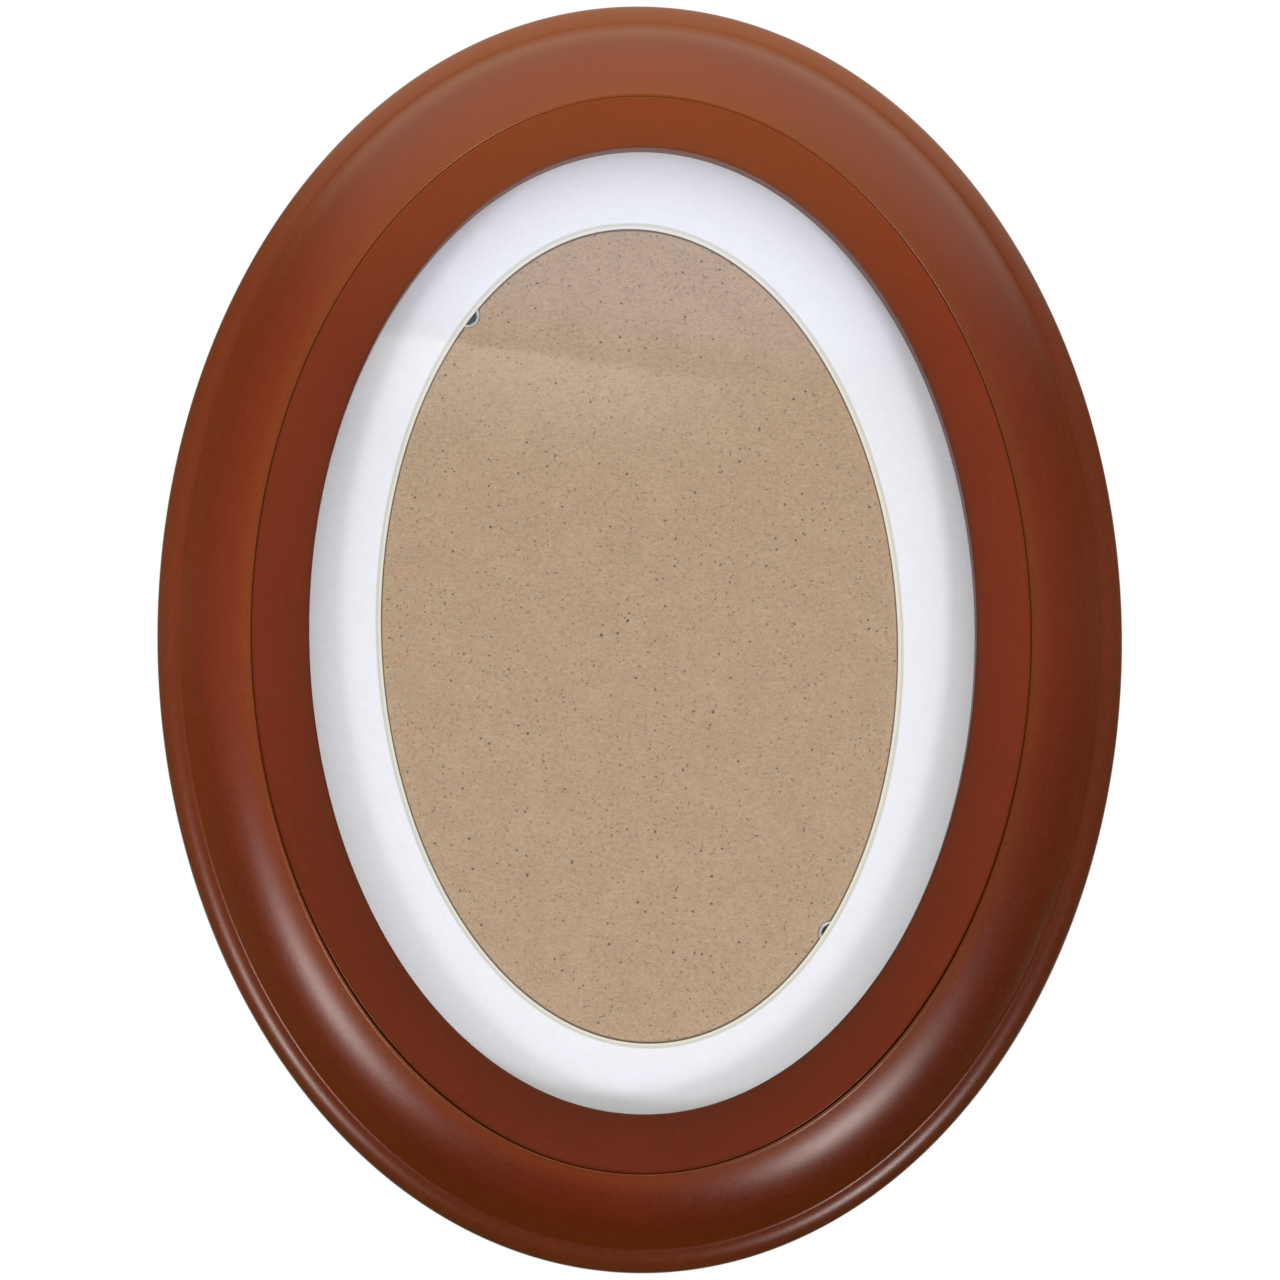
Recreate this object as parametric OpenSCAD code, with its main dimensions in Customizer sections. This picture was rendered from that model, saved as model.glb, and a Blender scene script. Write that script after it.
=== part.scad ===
// Oval wooden picture frame with a flat inner band, glass, a bevel-cut window mat,
// a fibreboard back held by four turn clips, and two ring hangers.

/* [Frame] */
// Overall width, straight across the oval
frame_w = 243; // [200:1:300]
// Overall height, from top to bottom of the oval
frame_h = 321.5; // [270:0.5:400]
// Depth from the wall to the front face
frame_depth = 20; // [19:0.5:24]
// Width of the whole moulding at the sides
side_w = 37.75; // [37:0.25:42]
// Width of the whole moulding at the top and the bottom
top_w = 38.5; // [37:0.25:42]
// Width of the outer moulding, from its outline to the joint with the inner band
outer_w = 23.75; // [23:0.25:25]

/* [Outer moulding section] */
// Height of the widest point above the back
edge_height = 4.8; // [4:0.1:6]
// How far the back edge lies inside the widest point
undercut = 1.2; // [0.5:0.1:2]
// Radius of the bead's nose
nose_r = 1.6; // [1:0.1:2]
// Radius of the bead's crown
crown_r = 7; // [6:0.5:8]
// Radius of the small hollow between bead and slope
hollow_r = 0.6; // [0.4:0.1:1]
// Radius of the long rounded slope
slope_r = 28; // [26:1:32]
// Radius of the rounded lip at the top of the slope
lip_r = 0.8; // [0.5:0.1:1]

/* [Inner band] */
// Width of the dark line between outer moulding and band
line_w = 0.6; // [0.3:0.1:1]
// Depth of the dark line
line_depth = 2.5; // [1:0.1:4]
// Glue gap between the two rings of wood
glue_gap = 0.1; // [0.08:0.01:0.2]
// Thickness of the band in front of the glass
band_t = 8; // [7:0.5:9]
// Width of the lip that the glass rests on
lip_w = 5.3; // [4.5:0.1:5.8]
// Height of the groove in the rebate wall that the clips turn into
groove_h = 1.4; // [1.2:0.1:1.8]
// Depth of that groove
groove_depth = 4.2; // [3.8:0.1:4.6]

/* [Glass, mat and back] */
// Gap round the glass, the mat and the back in the rebate
fit_gap = 0.6; // [0.4:0.1:1]
// Thickness of the glass
glass_t = 2; // [1.5:0.1:2.5]
// Thickness of the mat
mat_t = 1.4; // [1.2:0.1:1.6]
// Width of the mat that shows at each side
mat_side = 18.25; // [14:0.25:26]
// Width of the mat that shows at the top and the bottom
mat_top = 18.5; // [14:0.25:26]
// How far the window is cut out of upright, in degrees
window_turn = 2.1; // [0:0.1:3]
// Thickness of the fibreboard back
board_t = 2.6; // [2.2:0.1:2.8]

/* [Turn clips and rivets] */
// Sheet thickness of a clip
clip_t = 0.8; // [0.6:0.1:1]
// Width of a clip
clip_w = 10; // [8:0.5:12]
// Distance from each rivet to the rebate's wall
clip_set = 21.1; // [19:0.1:23]
// How far a clip's tip goes into the groove in that wall
clip_bite = 2.9; // [2:0.1:3.2]
// Length of a clip's tail behind its rivet
clip_tail = 8; // [7:0.5:10]
// Height of the thumb tab on the tail
tab_h = 1.6; // [1:0.1:2]
// Hole in a rivet's hollow shank
rivet_bore = 4.4; // [3.5:0.1:5]
// Wall of that shank
rivet_wall = 0.3; // [0.2:0.05:0.4]
// Width of a rivet's closed head on the back
rivet_head_w = 8; // [7:0.5:9]
// Thickness of that head
rivet_head_t = 0.4; // [0.3:0.1:0.5]
// Radius of the rolled rim on the front of the board
roll_r = 0.45; // [0.35:0.05:0.5]

/* [Ring hangers] */
// Thickness of the ring's wire
wire_w = 1.8; // [1.5:0.1:2.2]
// Width of the ring, between the middles of its legs
ring_w = 13; // [12:0.5:14]
// Length of the ring's straight legs
leg_l = 2.5; // [2:0.5:3]
// Sheet thickness of the strap
strap_t = 0.8; // [0.6:0.1:1]
// Width of the strap
strap_w = 9; // [8:0.5:10]
// Length of the strap from the ring's base to its round end
strap_l = 11; // [10:0.5:11]
// Gap between the outline and the end of a hanging ring
hanger_inset = 3; // [2.5:0.5:3.5]
// Thickness of a hanger screw
screw_w = 2.9; // [2.5:0.1:3.1]
// Length of a hanger screw under its head
screw_l = 10; // [8:0.5:10]
// Width of the screw's head
head_w = 5.2; // [5:0.1:6]
// Height of the screw's head
head_h = 1.5; // [1.2:0.1:1.8]

/* [Hidden] */
$fn = 96;

wood = "#7a3216";
band_wood = "#6e2c19";
steel = "#b9b9b4";

// Overrun of every cut past the face that it leaves by
overrun = 0.5;
// Play between parts that turn on each other
play = 0.05;
// Round fit of a clip on its rivet and of a ring in its strap
turn_fit = 0.08;
// Places round the oval, and steps in each small and each long curve of the section
stations = 120;
corner_steps = 3;
slope_steps = 6;

// Angles of the section's tangent points, from the front face
nose_turn = 50;
lip_turn = 12;

// Heights above the back, in the order that the pieces lie
glass_front = frame_depth - band_t;
mat_front = glass_front - glass_t;
board_front = mat_front - mat_t;
board_back = board_front - board_t;
clip_front = board_back - play;
clip_back = clip_front - clip_t;
rivet_head_front = clip_back - play;
rivet_head_back = rivet_head_front - rivet_head_t;

// Half sizes of the ovals
outline_half = [frame_w, frame_h] / 2;
sight_half = outline_half - [side_w, top_w];
window_half = sight_half - [mat_side, mat_top];
rebate_half = grown(sight_half, lip_w);
pane_half = grown(rebate_half, -fit_gap);
function grown(half, by) = [half.x + by, half.y + by];

// Turns round the oval at which the four clips meet the wall.
// The rivets were set by hand, so the first and third stray from even places.
clip_turns = [132.9, 44.9, -42.7, -135.1];
clip_reach = clip_set + clip_bite;
shank_w = rivet_bore + 2 * rivet_wall;
tab_share = 0.6;
tab_w = tab_share * clip_w;

// Ring hanger: its base wire turns in the strap's rolled end
ring_bore = wire_w / 2 + turn_fit;
knuckle_r = ring_bore + strap_t;
ring_top = leg_l + ring_w / 2;
fold_t = 2 * strap_t;
fold_lean = 40;
screw_in = strap_l - strap_w / 2;
base_in = hanger_inset + ring_top + wire_w / 2;

// Cross recess in a screw's head, as shares of the head's width and height
cross_share = 0.6;
cross_w_share = 0.17;
cross_deep_share = 0.5;

// The origin is where the nail bears, inside the top hanger's ring
nail_height = frame_h / 2 - base_in + ring_top - wire_w / 2;

// Outline of the outer moulding's section: x runs in from the outline, y is the height
function bow(c, r, from, to, steps = corner_steps) =
    [for (i = [1:steps]) let (a = from + (to - from) * i / steps) c + r * [-sin(a), cos(a)]];
function meet(c0, r0, c1, r1) =
    let (v = c1 - c0, d = norm(v), a = (d * d + r0 * r0 - r1 * r1) / (2 * d), h = sqrt(r0 * r0 - a * a))
    c0 + a / d * v + h / d * [-v.y, v.x];
function lean(c, p) = atan2(c.x - p.x, p.y - c.y);

nose_c = [nose_r, edge_height];
crown_c = nose_c + (crown_r - nose_r) * [sin(nose_turn), -cos(nose_turn)];
lip_c = [outer_w - lip_r, frame_depth - lip_r];
slope_c = lip_c + (slope_r - lip_r) * [sin(lip_turn), -cos(lip_turn)];
hollow_c = meet(crown_c, crown_r + hollow_r, slope_c, slope_r + hollow_r);
crown_end = lean(crown_c, hollow_c);
slope_start = lean(slope_c, hollow_c);

outer_section = concat(
    [[undercut, 0], [0, edge_height]],
    bow(nose_c, nose_r, 90, nose_turn),
    bow(crown_c, crown_r, nose_turn, crown_end, slope_steps),
    bow(hollow_c, -hollow_r, crown_end, slope_start),
    bow(slope_c, slope_r, slope_start, lip_turn, slope_steps),
    bow(lip_c, lip_r, lip_turn, -90),
    [[outer_w, 0]]);

// Carries a section round the oval: every point follows an ellipse inset by the point's x
module oval_sweep(section) {
    n = len(section);
    rim = function (i, j) (i % stations) * n + j % n;
    polyhedron(
        [for (i = [0:stations - 1], p = section)
            let (half = grown(outline_half, -p.x), turn = i * 360 / stations)
            [half.x * cos(turn), half.y * sin(turn), p.y]],
        [for (i = [0:stations - 1], j = [0:n - 1],
            half = [[rim(i, j), rim(i, j + 1), rim(i + 1, j + 1)],
                    [rim(i, j), rim(i + 1, j + 1), rim(i + 1, j)]]) half]);
}

// Oval slab of the given half sizes, between two heights
module oval_slab(half, low, high) {
    translate([0, 0, low])
        scale([1, half.y / half.x, 1])
            cylinder(h = high - low, r = half.x);
}

// Turns the frame up from the drawing plane and sets the origin at the nail
module hung() {
    translate([0, -knuckle_r, -nail_height])
        rotate([90, 0, 0])
            children();
}

// Direction of a clip, square to the rebate's wall, and the place of its rivet
function clip_angle(i) =
    atan2(rebate_half.x * sin(clip_turns[i]), rebate_half.y * cos(clip_turns[i]));
function clip_place(i) =
    [rebate_half.x * cos(clip_turns[i]) - clip_set * cos(clip_angle(i)),
     rebate_half.y * sin(clip_turns[i]) - clip_set * sin(clip_angle(i))];

// Carries children to a hanger's place: its base wire, on the back of the outer moulding
module at_hanger(side) {
    translate(side ? [frame_w / 2 - base_in, 0, 0] : [0, frame_h / 2 - base_in, 0])
        rotate([0, 0, side ? -90 : 0])
            children();
}

module outer_moulding() {
    color(wood) hung() difference() {
        oval_sweep(outer_section);
        for (side = [false, true])
            at_hanger(side)
                translate([0, -screw_in, -overrun])
                    cylinder(h = screw_l - fold_t + 2 * overrun, d = screw_w + 2 * play);
    }
}

module inner_band() {
    groove_middle = (clip_front + clip_back) / 2;
    color(band_wood) hung() difference() {
        union() {
            oval_slab(grown(outline_half, -outer_w - glue_gap), 0, frame_depth - line_depth);
            oval_slab(grown(outline_half, -outer_w - line_w), 0, frame_depth);
        }
        oval_slab(rebate_half, -overrun, glass_front);
        oval_slab(sight_half, -overrun, frame_depth + overrun);
        oval_slab(grown(rebate_half, groove_depth), groove_middle - groove_h / 2,
            groove_middle + groove_h / 2);
    }
}

module glass_pane() {
    color("#cfe0de", 0.35) hung() oval_slab(pane_half, mat_front, glass_front);
}

module window_mat() {
    // The cut slopes at 45 degrees on average, so the window widens towards the front
    slope = 2 * window_half.x / (window_half.x + window_half.y);
    color("#f1f1ee") hung() difference() {
        oval_slab(pane_half, board_front, mat_front);
        rotate([0, 0, window_turn])
            translate([0, 0, board_front - overrun])
                scale([1, window_half.y / window_half.x, 1])
                    cylinder(h = mat_t + 2 * overrun, r1 = window_half.x - slope * overrun,
                        r2 = window_half.x + slope * (mat_t + overrun));
    }
}

module backing_board() {
    color("#b89f80") hung() difference() {
        oval_slab(pane_half, board_back, board_front);
        for (i = [0:3])
            translate([clip_place(i).x, clip_place(i).y, board_back - overrun]) {
                cylinder(h = board_t + 2 * overrun, d = shank_w + 2 * play);
                translate([0, 0, overrun + board_t - 2 * roll_r - play])
                    cylinder(h = 2 * roll_r + play + overrun, d = rivet_bore + 4 * roll_r + 2 * play);
            }
    }
}

// Flat steel strip with a rounded tip, a hole for its rivet and a thumb tab on its tail
module turn_clip(i) {
    color(steel) hung()
        translate([clip_place(i).x, clip_place(i).y, clip_back])
            rotate([0, 0, clip_angle(i)])
                difference() {
                    union() {
                        linear_extrude(height = clip_t) {
                            circle(d = clip_w);
                            intersection() {
                                circle(r = clip_reach);
                                translate([0, -clip_w / 2]) square([clip_reach, clip_w]);
                            }
                            translate([-clip_tail, -tab_w / 2]) square([clip_tail, tab_w]);
                        }
                        translate([-clip_tail, -tab_w / 2, -tab_h]) cube([clip_t, tab_w, tab_h + clip_t]);
                    }
                    translate([0, 0, -overrun])
                        cylinder(h = clip_t + 2 * overrun, d = shank_w + 2 * turn_fit);
                }
}

// Rivet with a closed head behind the clip and a hollow shank through the board,
// its end rolled over in front
module rivet(i) {
    color(steel) hung()
        translate([clip_place(i).x, clip_place(i).y, 0])
            difference() {
                union() {
                    translate([0, 0, rivet_head_back]) cylinder(h = rivet_head_t, d = rivet_head_w);
                    translate([0, 0, rivet_head_back])
                        cylinder(h = board_front - roll_r - rivet_head_back, d = shank_w);
                    translate([0, 0, board_front - roll_r])
                        rotate_extrude() translate([rivet_bore / 2 + roll_r, 0]) circle(r = roll_r);
                }
                translate([0, 0, rivet_head_front])
                    cylinder(h = board_front - rivet_head_front + overrun, d = rivet_bore);
            }
}

// Lays a side view, wood at x = 0, across the strap's width
module across(width) {
    translate([width / 2, 0, 0])
        rotate([0, -90, 0])
            linear_extrude(height = width)
                children();
}

// Steel strip rolled round the wire, folded on itself and screwed down through both layers:
// square at the ring, round at its screw
module hanger_strap(side) {
    middle = [-knuckle_r, 0];
    out = [-cos(fold_lean), -sin(fold_lean)];
    // Where a line square to that direction, at distance r from the wire, crosses depth x
    crossing = function (r, x) (r - (x - middle.x) * out.x) / out.y;
    color(steel) hung() at_hanger(side)
        difference() {
            union() {
                across(strap_w) translate(middle) circle(r = knuckle_r);
                across(strap_w)
                    polygon([[0, 0], [0, -strap_l], [-fold_t, -strap_l],
                        [-fold_t, crossing(knuckle_r, -fold_t)], middle + knuckle_r * out, middle]);
            }
            across(strap_w + 2 * overrun) translate(middle) circle(r = ring_bore);
            across(strap_w + 2 * overrun)
                polygon([middle, [-strap_t, 0], [-strap_t, crossing(ring_bore, -strap_t)],
                    middle + ring_bore * out]);
            difference() {
                translate([-strap_w / 2 - overrun, -strap_l - overrun, -fold_t - overrun])
                    cube([strap_w + 2 * overrun, strap_w / 2 + overrun, fold_t + 2 * overrun]);
                translate([0, -screw_in, -fold_t - 2 * overrun])
                    cylinder(h = fold_t + 4 * overrun, d = strap_w);
            }
            translate([0, -screw_in, -fold_t - overrun])
                cylinder(h = fold_t + 2 * overrun, d = screw_w + 2 * play);
        }
}

// Wire ring with a straight base, two short legs and a half round top
module hanger_ring(side) {
    color(steel) hung() at_hanger(side)
        translate([0, 0, -knuckle_r]) {
            translate([-ring_w / 2, 0, 0]) rotate([0, 90, 0]) cylinder(h = ring_w, d = wire_w);
            for (x = [-ring_w / 2, ring_w / 2]) {
                translate([x, 0, 0]) sphere(d = wire_w);
                translate([x, 0, 0]) rotate([-90, 0, 0]) cylinder(h = leg_l, d = wire_w);
            }
            translate([0, leg_l, 0])
                rotate_extrude(angle = 180) translate([ring_w / 2, 0]) circle(d = wire_w);
        }
}

// Pan head wood screw with a cross recess
module hanger_screw(side) {
    cross_l = cross_share * head_w;
    cross_w = cross_w_share * head_w;
    color(steel) hung() at_hanger(side)
        translate([0, -screw_in, -fold_t])
            difference() {
                union() {
                    translate([0, 0, -head_h]) cylinder(h = head_h, d = head_w);
                    cylinder(h = screw_l - screw_w, d = screw_w);
                    translate([0, 0, screw_l - screw_w]) cylinder(h = screw_w, d1 = screw_w, d2 = 0);
                }
                for (turn = [0, 90])
                    rotate([0, 0, turn])
                        translate([-cross_l / 2, -cross_w / 2, -head_h - overrun])
                            cube([cross_l, cross_w, cross_deep_share * head_h + overrun]);
            }
}

outer_moulding();
inner_band();
glass_pane();
window_mat();
backing_board();
turn_clip(0);  // turn_clip_top_left
turn_clip(1);  // turn_clip_top_right
turn_clip(2);  // turn_clip_bottom_right
turn_clip(3);  // turn_clip_bottom_left
rivet(0);  // rivet_top_left
rivet(1);  // rivet_top_right
rivet(2);  // rivet_bottom_right
rivet(3);  // rivet_bottom_left
hanger_strap(false);  // top_hanger_strap
hanger_ring(false);  // top_hanger_ring
hanger_screw(false);  // top_hanger_screw
hanger_strap(true);  // side_hanger_strap
hanger_ring(true);  // side_hanger_ring
hanger_screw(true);  // side_hanger_screw
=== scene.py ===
import math

import bmesh
import bpy
import numpy as np
from mathutils import Matrix, Vector


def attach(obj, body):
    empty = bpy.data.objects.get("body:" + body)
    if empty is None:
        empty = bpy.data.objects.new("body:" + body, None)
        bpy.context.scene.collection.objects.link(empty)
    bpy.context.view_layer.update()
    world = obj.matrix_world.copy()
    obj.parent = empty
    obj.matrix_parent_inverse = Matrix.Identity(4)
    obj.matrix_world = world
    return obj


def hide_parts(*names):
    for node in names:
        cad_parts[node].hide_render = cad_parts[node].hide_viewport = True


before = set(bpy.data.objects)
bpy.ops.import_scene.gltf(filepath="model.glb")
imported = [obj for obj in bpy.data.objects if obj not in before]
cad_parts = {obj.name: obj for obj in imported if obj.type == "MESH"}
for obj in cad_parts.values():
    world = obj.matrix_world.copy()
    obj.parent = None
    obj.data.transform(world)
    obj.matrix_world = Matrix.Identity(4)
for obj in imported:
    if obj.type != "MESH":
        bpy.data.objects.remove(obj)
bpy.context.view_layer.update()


# Outer moulding
# An oval ring of hardwood, glued up from curved lengths, then stained and lacquered. It is cut to
# a low bead at the outline, a small hollow, and one long slope up to a rounded lip.

# Sizes are millimetres and heights count from the flat back. Ovals are given by half sizes.
WIDTH, HEIGHT, DEPTH = 243.0, 321.5, 20.0
OUTLINE = np.array([WIDTH, HEIGHT]) / 2
OUTER_W = 23.75
# From the back out to the rings' wire, and from the oval's centre up to the nail
WIRE_OUT, NAIL_UP = 1.78, 155.95
# The section's arcs from the outline to the lip, the angles where the first and the last one
# change, and how far the lip stands above the slope
NOSE_R, CROWN_R, HOLLOW_R, SLOPE_R, LIP_HOLLOW_R, LIP_R = 1.6, 7.0, 1.4, 29.0, 0.5, 0.5
NOSE_TURN, LIP_TURN, LIP_RISE = 50.0, 12.0, 0.06
UNDERCUT, EDGE_HEIGHT, ARRIS = 1.2, 4.8, 0.3
# The joint with the band: the foot of its open part, and how it strays from a true oval, by a
# shift, by other half sizes, and by corners that are pulled in
JOINT_FOOT, JOINT_CORNER = 17.5, 0.38
JOINT_SHIFT, JOINT_GROW = np.array([-0.41, -1.0]), np.array([0.18, -0.67])
# Mean radius of the oval, so that grain is as long round the oval as across it
GRAIN_R = 140.0
# Steps round each oval, and the angle from which an edge is kept sharp
STATIONS, SHARP_EDGE = 480, 32.0
ROUND_OVAL = np.linspace(0, 2 * math.pi, STATIONS, endpoint=False)


def hung(places):
    """Places in the drawing, in millimetres, as places in the frame, in metres."""
    places = np.asarray(places, float)
    return np.stack([places[..., 0], -places[..., 2] - WIRE_OUT,
                     places[..., 1] - NAIL_UP], -1) / 1000


def arc(centre, radius, start, end, steps):
    """Places on an arc, with both of its ends."""
    turns = np.radians(np.linspace(start, end, steps))
    return [(centre[0] + radius * math.cos(a), centre[1] + radius * math.sin(a)) for a in turns]


def bow(centre, radius, start, end, steps):
    """The section's next arc, its angles measured from the front face."""
    return arc(centre, radius, start + 90, end + 90, steps + 1)[1:]


def next_centre(centre, radius, turn):
    """Centre of the arc that goes on from the last one at this angle."""
    turn = math.radians(turn)
    return centre + radius * np.array([math.sin(turn), -math.cos(turn)])


def hollow_centre(first, first_r, second, second_r):
    """Centre of the hollow that touches both arcs."""
    across = second - first
    apart = np.linalg.norm(across)
    along = (apart ** 2 + first_r ** 2 - second_r ** 2) / (2 * apart)
    aside = math.sqrt(first_r ** 2 - along ** 2)
    return first + along / apart * across + aside / apart * np.array([-across[1], across[0]])


def angle_towards(centre, place):
    return math.degrees(math.atan2(centre[0] - place[0], place[1] - centre[1]))


def moulding_section():
    """Inset from the outline and height of each place, from the back edge over the front."""
    nose = np.array([NOSE_R, EDGE_HEIGHT])
    crown = next_centre(nose, CROWN_R - NOSE_R, NOSE_TURN)
    lip = np.array([OUTER_W, DEPTH]) - LIP_R
    slope = next_centre(lip, SLOPE_R - LIP_R + LIP_RISE, LIP_TURN)
    hollow = hollow_centre(crown, CROWN_R + HOLLOW_R, slope, SLOPE_R + HOLLOW_R)
    dip = hollow_centre(slope, SLOPE_R + LIP_HOLLOW_R, lip, LIP_R + LIP_HOLLOW_R)
    crown_end, slope_start = angle_towards(crown, hollow), angle_towards(slope, hollow)
    slope_end, lip_start = angle_towards(slope, dip), angle_towards(lip, dip)
    places = [(UNDERCUT + ARRIS, 0.0), (UNDERCUT - ARRIS / 4, ARRIS), (0.0, EDGE_HEIGHT)]
    places += bow(nose, NOSE_R, 90, NOSE_TURN, steps=6)
    places += bow(crown, CROWN_R, NOSE_TURN, crown_end, steps=14)
    places += bow(hollow, -HOLLOW_R, crown_end, slope_start, steps=8)
    places += bow(slope, SLOPE_R, slope_start, slope_end, steps=30)
    places += bow(dip, -LIP_HOLLOW_R, slope_end, lip_start, steps=4)
    places += bow(lip, LIP_R, lip_start, -90, steps=12)
    places += [(OUTER_W, JOINT_FOOT), (OUTER_W, ARRIS), (OUTER_W - ARRIS, 0.0)]
    return places


def finished_mesh(name, mesh):
    """Smooth shading with its true edges kept sharp, on an object of its own."""
    mesh.polygons.foreach_set("use_smooth", [True] * len(mesh.polygons))
    mesh.set_sharp_from_angle(angle=math.radians(SHARP_EDGE))
    piece = bpy.data.objects.new(name, mesh)
    bpy.context.scene.collection.objects.link(piece)
    return piece


def strayed(rings, cos, sin, strays, slip, pinch):
    """Each ring drawn round its oval, off it by its share of the way that the joint strays.

    Slip lifts a ring off the joint and pinch narrows its lower corners, where the glued line
    has opened."""
    corner = (JOINT_CORNER + pinch * (1 - sin) / 2) * (2 * sin * cos) ** 2
    pull = 1 - strays * corner / rings[:, :2].mean(1)
    x = (rings[:, 0] + strays * JOINT_GROW[0]) * cos * pull + strays * JOINT_SHIFT[0]
    y = (rings[:, 1] + strays * JOINT_GROW[1]) * sin * pull + strays * (JOINT_SHIFT[1] + slip)
    return x, y


def oval_ring(name, rings, strays=0.0, slip=0.0, pinch=0.0, turns=0.0, moves=(0.0, 0.0)):
    """Closed mesh through rings of (half sizes, height), with marks for its finish.

    Turns and moves set each ring askew. Mark grain is in millimetres round and across the
    oval, inset counts from the outline, and height from the back."""
    rings = np.array([[*half, height] for half, height in rings], float)
    count = len(rings)
    cos, sin = np.cos(ROUND_OVAL)[:, None], np.sin(ROUND_OVAL)[:, None]
    x, y = strayed(rings, cos, sin, np.asarray(strays, float), slip, pinch)
    turns, moves = np.radians(turns), np.asarray(moves, float)
    height = np.broadcast_to(rings[:, 2], x.shape)
    places = np.stack([x * np.cos(turns) - y * np.sin(turns) + moves[..., 0],
                       x * np.sin(turns) + y * np.cos(turns) + moves[..., 1], height], -1)
    i, j = np.meshgrid(np.arange(STATIONS), np.arange(count), indexing="ij")
    after, beside = (i + 1) % STATIONS, (j + 1) % count
    faces = np.stack([i * count + j, after * count + j, after * count + beside,
                      i * count + beside], -1).reshape(-1, 4)
    mesh = bpy.data.meshes.new(name)
    mesh.from_pydata(hung(places).reshape(-1, 3).tolist(), [], faces.tolist())
    strides = np.hypot(np.diff(rings[:, 0]), np.diff(rings[:, 2]))
    across = np.concatenate([[0], np.cumsum(strides)])
    grain = np.stack([np.broadcast_to(way, x.shape)
                      for way in (GRAIN_R * cos, GRAIN_R * sin, across)], -1)
    inset = np.broadcast_to(OUTLINE[0] - rings[:, 0], x.shape)
    for mark, kind, field, values in (("grain", "FLOAT_VECTOR", "vector", grain),
                                      ("inset", "FLOAT", "value", inset),
                                      ("height", "FLOAT", "value", height)):
        mesh.attributes.new(mark, kind, "POINT").data.foreach_set(
            field, values.astype(np.float32).ravel())
    return finished_mesh(name, mesh)


def chart(red, green, blue):
    """A colour off a paint chart, 0 to 255, as the linear numbers that shaders take."""
    return tuple(((c / 255 + 0.055) / 1.055) ** 2.4 if c > 10 else c / 3295
                 for c in (red, green, blue)) + (1.0,)


class Flow:
    """A value or colour on its way through a finish. Sums on values add Math nodes."""

    def __init__(self, finish, socket):
        self.finish, self.socket = finish, socket

    def sum(self, operation, first, second=0.0):
        return self.finish.node("Math", {"operation": operation}, {0: first, 1: second})

    def __add__(self, other):
        return self.sum("ADD", self, other)

    def __radd__(self, other):
        return self.sum("ADD", other, self)

    def __sub__(self, other):
        return self.sum("SUBTRACT", self, other)

    def __rsub__(self, other):
        return self.sum("SUBTRACT", other, self)

    def __mul__(self, other):
        return self.sum("MULTIPLY", self, other)

    def __rmul__(self, other):
        return self.sum("MULTIPLY", other, self)

    def __truediv__(self, other):
        return self.sum("DIVIDE", self, other)

    def __pow__(self, other):
        return self.sum("POWER", self, other)

    def __abs__(self):
        return self.sum("ABSOLUTE", self)


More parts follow.
